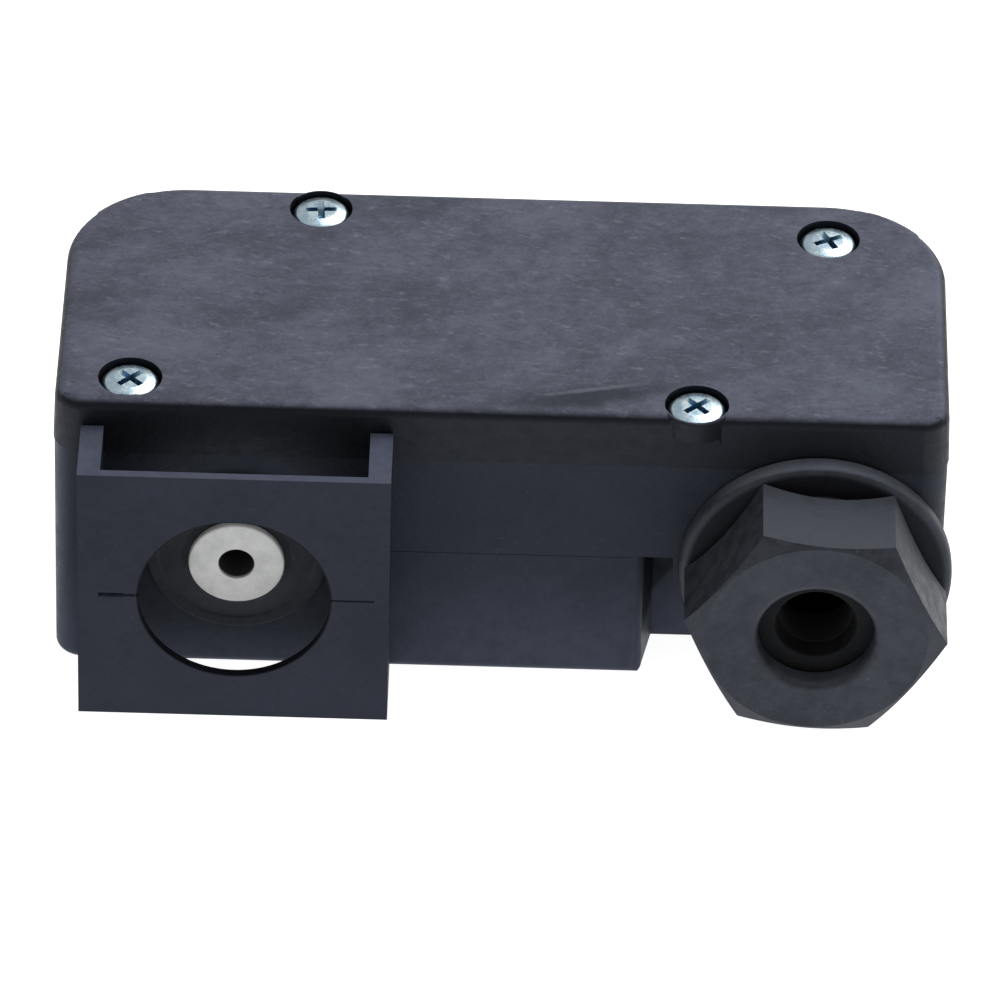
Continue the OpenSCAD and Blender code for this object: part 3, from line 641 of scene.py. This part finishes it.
# ---------------------------------------------------------------- cover
SPLIT_Z = cover_low.z
DRAFT = 0.22              # how far its walls lean in by the top
NEAR_X, NEAR_Y = 3, 1.5   # how near the widest part a wall's points are
FOOT_TRIM = 1.2           # taken off the foot of the screw ring that stands out in front
cover = cleaned("cover", "cover_shell")
half_x, half_y = cover_high.x, cover_high.y
for v in cover.data.vertices:
    rise = (v.co.z - SPLIT_Z) / (cover_high.z - SPLIT_Z)
    if abs(v.co.x) > half_x - NEAR_X * MM:
        v.co.x -= math.copysign(DRAFT * MM * rise, v.co.x)
    if abs(v.co.y) > half_y - NEAR_Y * MM:
        v.co.y -= math.copysign(DRAFT * MM * rise, v.co.y)
foot_z = min(v.co.z for v in cover.data.vertices if v.co.y < FRONT - 0.3 * MM) / MM
cut(cover, slot_cutter((cover_low.x / MM, front_mm - 3, foot_z - 1),
                       (cover_high.x / MM, front_mm - 0.02, foot_z + FOOT_TRIM)))
softened(cover, 0.18, 2)
piece(cover, "housing", "cover_plastic", "cover")

# ---------------------------------------------------------------- base and guard, with the mould's parting line
PARTING_D, PARTING_GAP = 0.06, 1.3
FOOT_R = 1.5              # the rounded foot of the wall beside the recess
base = cleaned("housing_base", "base_shell")
parting_low, parting_high = PARTING_Z - PARTING_W / 2, PARTING_Z + PARTING_W / 2
base_front = base_low.y / MM
cut(base, slot_cutter((guard_high.x / MM, base_front - 1, parting_low),
                      (NOTCH_X - PARTING_GAP, base_front + PARTING_D, parting_high)))
ends = []
for wall_x, y in ((NOTCH_X, base_front - 1), (NOTCH_X + NOTCH_SLANT, base_front + NOTCH_DEPTH - 0.1)):
    arc = [(wall_x - FOOT_R * (1 - math.sin(t)), FOOT_R * (1 - math.cos(t))) for t in QUARTER]
    outline = [(wall_x + 1, -1), (wall_x - FOOT_R, -1)] + arc + [(wall_x + 1, FOOT_R)]
    ends.append([Vector((x, y, z)) * MM for x, z in outline])
cut(base, skinned("cutter", ends))
softened(base, 0.25, 2)
piece(base, "housing", "base_plastic", "housing_base")

SLIT_D = 1.0              # the guard's parting line opens into slits, taller towards its left end
guard = cleaned("guard_frame", "guard_shell")
plate_left, plate_right, plate_front = guard_low.x / MM, guard_high.x / MM, guard_low.y / MM
window_x = plunger_mid.x / MM
for x0, x1, tall in ((plate_left + 2.2, plate_left + 4.8, 0.55), (plate_left + 4.6, window_x, 0.35),
                     (window_x, plate_right - 1.6, 0.25)):
    cut(guard, slot_cutter((x0, plate_front - 1, PARTING_Z - tall / 2),
                           (x1, plate_front + SLIT_D, PARTING_Z + tall / 2)))
softened(guard, 0.18, 2, weighted=False)
piece(guard, "housing", "base_plastic", "guard_frame", look=guard_plastic())

# ---------------------------------------------------------------- gland
COLLAR_R = (collar_high.x - collar_low.x) / 2 / MM
COLLAR_T, COLLAR_ROUND, NOZZLE_L, NOZZLE_R = 2.1, 1.3, 6.2, 9.3
BORE_R, NIPPLE_R, NIPPLE_L = 6.6, 9.95, 12
CAGE_R, CAGE_SEAT = 8.95, -3.1                     # room for the clamping cage, down to its seat
GROOVE_IN, GROOVE_OUT, GROOVE_D = 10.1, 11.7, 1.6  # groove of the sealing ring
nozzle_end = -COLLAR_T - NOZZLE_L
turned_piece("gland_shell", gland_axis, [
    (BORE_R, NIPPLE_L, 0.3), (NIPPLE_R, NIPPLE_L, 0.3), (NIPPLE_R, 0, 0), (GROOVE_IN, 0, 0),
    (GROOVE_IN, -GROOVE_D, 0), (GROOVE_OUT, -GROOVE_D, 0), (GROOVE_OUT, 0, 0), (COLLAR_R, 0, 0.2),
    (COLLAR_R, -COLLAR_T, COLLAR_ROUND),
    (NOZZLE_R, -COLLAR_T, 0.1), (NOZZLE_R, nozzle_end, 0.3), (CAGE_R, nozzle_end, 0), (CAGE_R, CAGE_SEAT, 0),
    (BORE_R, CAGE_SEAT, 0.2)], "housing", "gland_plastic", "gland_body", look=collar_plastic())

HOLE_R, RIM_R, CORNER_R = 6.2, 0.9, 13.9           # the nut's hole, its rounded rim, and its corners
DISH_R, DISH_L = 11.0, 2.75                        # cone that takes the corners off its back
OVER = 0.3                                         # how far a cutter reaches past what it cuts
nut = cleaned("cap_nut", "gland_nut")
nut_front = nut_low.y / MM - front_mm
nut_back = nut_high.y / MM - front_mm
arc = [(HOLE_R + RIM_R * (1 - math.sin(t)), nut_front + RIM_R * (1 - math.cos(t))) for t in QUARTER]
cut(nut, lathe("cutter", gland_axis, [(HOLE_R - OVER, nut_front + RIM_R), (HOLE_R - OVER, nut_front - 1),
                                      (HOLE_R + RIM_R, nut_front - 1)] + arc))
cut(nut, lathe("cutter", gland_axis, [(CORNER_R + OVER, nut_back + 0.1), (DISH_R, nut_back - DISH_L),
                                      (DISH_R, nut_back + 0.1)]))
softened(nut, 0.35, 3, angle=24)
piece(nut, "nut", "gland_plastic", "cap_nut")

SEAL_R, SEAL_MOUTH_L = 8, 2.0
insert_low, insert_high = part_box("sealing_insert")
insert_front, insert_back = insert_low.y / MM - front_mm, insert_high.y / MM - front_mm
turned_piece("seal_shell", gland_axis, [
    (SEAL_MOUTH_R, insert_front, 0.3), (SEAL_R, insert_front, 0.6), (SEAL_R, insert_back, 0.3),
    (SEAL_BORE_R, insert_back, 0.3), (SEAL_BORE_R, insert_front + SEAL_MOUTH_L, 0.8)],
    "housing", "black_rubber", "sealing_insert", look=seal_rubber())

# ---------------------------------------------------------------- plunger and its boot
HEAD_R = (head_high.x - head_low.x) / 2 / MM
head_front = head_low.y / MM - front_mm
tip = head_high.y / MM - front_mm
HEAD_T, STEM_R, TIP_R, TIP_L, SOCKET_L = 0.8, 3.0, 1.2, 2.0, 6.0
CLIP_D, CLIP_T, CLIP_GROOVE = 5.15, 0.8, 0.4
socket_end = head_front + SOCKET_L
groove_r = STEM_R - CLIP_GROOVE
dome = [(TIP_R * math.cos(t), tip - TIP_R + TIP_R * math.sin(t), 0) for t in QUARTER]
turned_piece("plunger_shell", plunger_axis, [
    (0, socket_end, 0), (SOCKET_R, socket_end, 0), (SOCKET_R, head_front, 0.15), (HEAD_R, head_front, 0.3),
    (HEAD_R, head_front + HEAD_T, 0.15), (STEM_R, head_front + HEAD_T, 0), (STEM_R, CLIP_D, 0), (groove_r, CLIP_D, 0),
    (groove_r, CLIP_D + CLIP_T, 0), (STEM_R, CLIP_D + CLIP_T, 0), (STEM_R, tip - TIP_L, 0.3),
    (TIP_R, tip - TIP_L, 0)] + dome, "plunger", "plunger_plastic", "plunger")

BOOT_R = (boot_high.x - boot_low.x) / 2 / MM
web = boot_low.y / MM - front_mm
seat = boot_high.y / MM - front_mm
NECK_R, RIM_D, WEB_T, RIM_W = 5.3, -0.95, 0.35, 0.8
hug_r = STEM_R + 0.05
boot = lathe("boot_shell", plunger_axis, rounded([
    (hug_r, web, 0), (NECK_R - 0.1, web, 0.2), (NECK_R + 0.5, web + 0.35, 0.3), (BOOT_R - 1.6, RIM_D - 0.02, 0.4),
    (BOOT_R - 1.35, RIM_D - 0.12, 0.3), (BOOT_R - 0.1, RIM_D - 0.05, 0.5), (BOOT_R, RIM_D + 0.6, 0.4),
    (BOOT_R, seat, 0.1), (BOOT_R - RIM_W, seat, 0), (BOOT_R - RIM_W, RIM_D + 0.5, 0.2), (NECK_R, web + WEB_T, 0.2),
    (hug_r, web + WEB_T, 0)]))
piece(baked(boot, 40), None, "black_rubber", "plunger_boot")
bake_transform(boot)


def helix(name, centre, radius, wire, y0, y1, turns):
    """A coil along +Y with closed end turns, in mm from centre."""
    per_turn, sides = 36, 10
    steps = int(turns * per_turn)
    rings = []
    for i in range(steps + 1):
        t = i / steps
        a = math.tau * turns * t
        ease = t * t * (3 - 2 * t)
        middle_y = (y0 + wire) * (1 - ease) + (y1 - wire) * ease
        ring = []
        for j in range(sides):
            b = math.tau * j / sides
            out = radius + wire * math.cos(b)
            ring.append(centre + Vector((out * math.cos(a), middle_y + wire * math.sin(b), out * math.sin(a))) * MM)
        rings.append(ring)
    return baked(skinned(name, rings), 50)


spring_low, spring_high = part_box("plunger_spring")
SPRING_R, WIRE_R, SPRING_TURNS = 3.9, 0.3, 4.0
spring = helix("return_spring", plunger_axis, SPRING_R, WIRE_R, spring_low.y / MM - front_mm,
               spring_high.y / MM - front_mm, SPRING_TURNS)
piece(spring, "housing", "spring_steel", "plunger_spring")
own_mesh(spring)

# ---------------------------------------------------------------- cover screws
SCREW_XY = ((-39.3, front_mm + 4.8, 45), (-20.2, -front_mm - 3.8, 4), (34.6, -front_mm - 6.9, 28),
            (20.5, front_mm + 2.6, 42))
_, screws_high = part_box("cover_screws")
HEAD_TOP = screws_high.z / MM
SCREW_R, SCREW_H, SHANK_R, SCREW_L = 3.12, 2.4, 1.5, 12.0
CROSS_L, CROSS_W, CROSS_D = 3.6, 0.74, 1.35
shank_end = -SCREW_H - SCREW_L


def wedge_bar(length, width, depth, turn, centre):
    """A bar that narrows downwards, for one arm pair of a cross recess."""
    rows = [[(x * l / 2, y * w / 2, z) for x, y in ((-1, -1), (1, -1), (1, 1), (-1, 1))]
            for z, l, w in ((0.4, length * 1.1, width * 1.06), (-depth, length * 0.36, width * 0.62))]
    return skinned("cutter", rows, Matrix.Translation(centre) @ Matrix.Scale(MM, 4)
                   @ Matrix.Rotation(math.radians(turn), 4, "Z"))


for number, (x, y, turn) in enumerate(SCREW_XY, 1):
    points = rounded([(0, 0.02, 0), (1.7, -0.02, 0.9), (2.75, -0.34, 0.7), (SCREW_R, -0.85, 0.4),
                      (SCREW_R, -SCREW_H, 0.1), (SHANK_R, -SCREW_H, 0), (SHANK_R, shank_end + 0.4, 0.2),
                      (SHANK_R - 0.4, shank_end, 0), (0, shank_end, 0)])
    screw = lathe(f"cover_screw_{number}", Vector((0, 0, 0)), points, segments=96)
    screw.data.transform(Matrix.Translation((x * MM, y * MM, HEAD_TOP * MM)) @ Matrix.Rotation(math.pi / 2, 4, "X"))
    baked(screw)
    top = Vector((x, y, HEAD_TOP)) * MM
    for quarter in (0, 90):
        cut(screw, wedge_bar(CROSS_L, CROSS_W, CROSS_D, turn + quarter, top))
    softened(screw, 0.05, 2, angle=40)
    piece(screw, "housing", "zinc_steel", *(("cover_screws",) if number == 1 else ()))

# ---------------------------------------------------------------- nodes shown as they are
SLOTS = {part["node"]: part["material_slot"] for part in frame["record"]["subparts"]}
for name, node in frame["nodes"].items():
    if node.hide_render:
        continue
    node.data.materials.clear()
    node.data.materials.append(LOOKS[SLOTS[name]])
    weld = node.modifiers.new("weld", "WELD")
    weld.merge_threshold = 1e-6
    bevel = node.modifiers.new("bevel", "BEVEL")
    bevel.width = 0.06 * MM
    bevel.segments = 2
    bevel.limit_method = "ANGLE"

# ---------------------------------------------------------------- floor, light and camera
SWEEP = 6.0
FLOOR_GLOW = 0.92
WORLD_GLOW = 0.4
bm = bmesh.new()
bmesh.ops.create_grid(bm, x_segments=2, y_segments=2, size=SWEEP)
floor = made("floor", bm)
paper = Recipe("paper")
grain = paper.noise(2.0, 2.0, 0.6)
floor.data.materials.append(paper.finish(
    paper.mix(grain, grey(0.86), grey(0.88)), 0.9, paper.bump(grain, 0.05, 0.1), specular=0.1,
    Emission_Color=(1, 1, 1, 1), Emission_Strength=FLOOR_GLOW))

world = bpy.data.worlds.new("studio")
scene.world = world
world.use_nodes = True
sky = world.node_tree.nodes["Background"]
sky.inputs["Color"].default_value = (1, 1, 1, 1)
sky.inputs["Strength"].default_value = WORLD_GLOW

KEY_PLACE, KEY_SIZE, KEY_POWER = Vector((0.5, 0.55, 0.95)), 0.9, 8
light = bpy.data.lights.new("key", "AREA")
light.shape = "RECTANGLE"
light.size = light.size_y = KEY_SIZE
light.energy = KEY_POWER
key = link("key", light)
key.location = KEY_PLACE
key.rotation_euler = (-KEY_PLACE).to_track_quat("-Z", "Y").to_euler()

# The camera as fitted to the photo: degrees, metres, and a lens in mm on a 36 mm sensor.
ELEVATION, YAW, ROLL, DISTANCE = 37.3548, 0.1602, 1.4955, 1.01965
AIM = Vector((0.0, -0.0080, 0.0140))
LENS, SENSOR = 341.917, 36
camera_data = bpy.data.cameras.new("camera")
camera_data.lens = LENS
camera_data.sensor_width = SENSOR
camera_data.clip_start = 0.01
camera_data.clip_end = 50
camera = link("camera", camera_data)
turn = (Matrix.Rotation(math.radians(YAW), 4, "Z") @ Matrix.Rotation(math.radians(90 - ELEVATION), 4, "X")
        @ Matrix.Rotation(math.radians(ROLL), 4, "Z"))
camera.matrix_world = Matrix.Translation(AIM) @ turn @ Matrix.Translation((0, 0, DISTANCE))
scene.camera = camera
scene.view_settings.view_transform = "Standard"
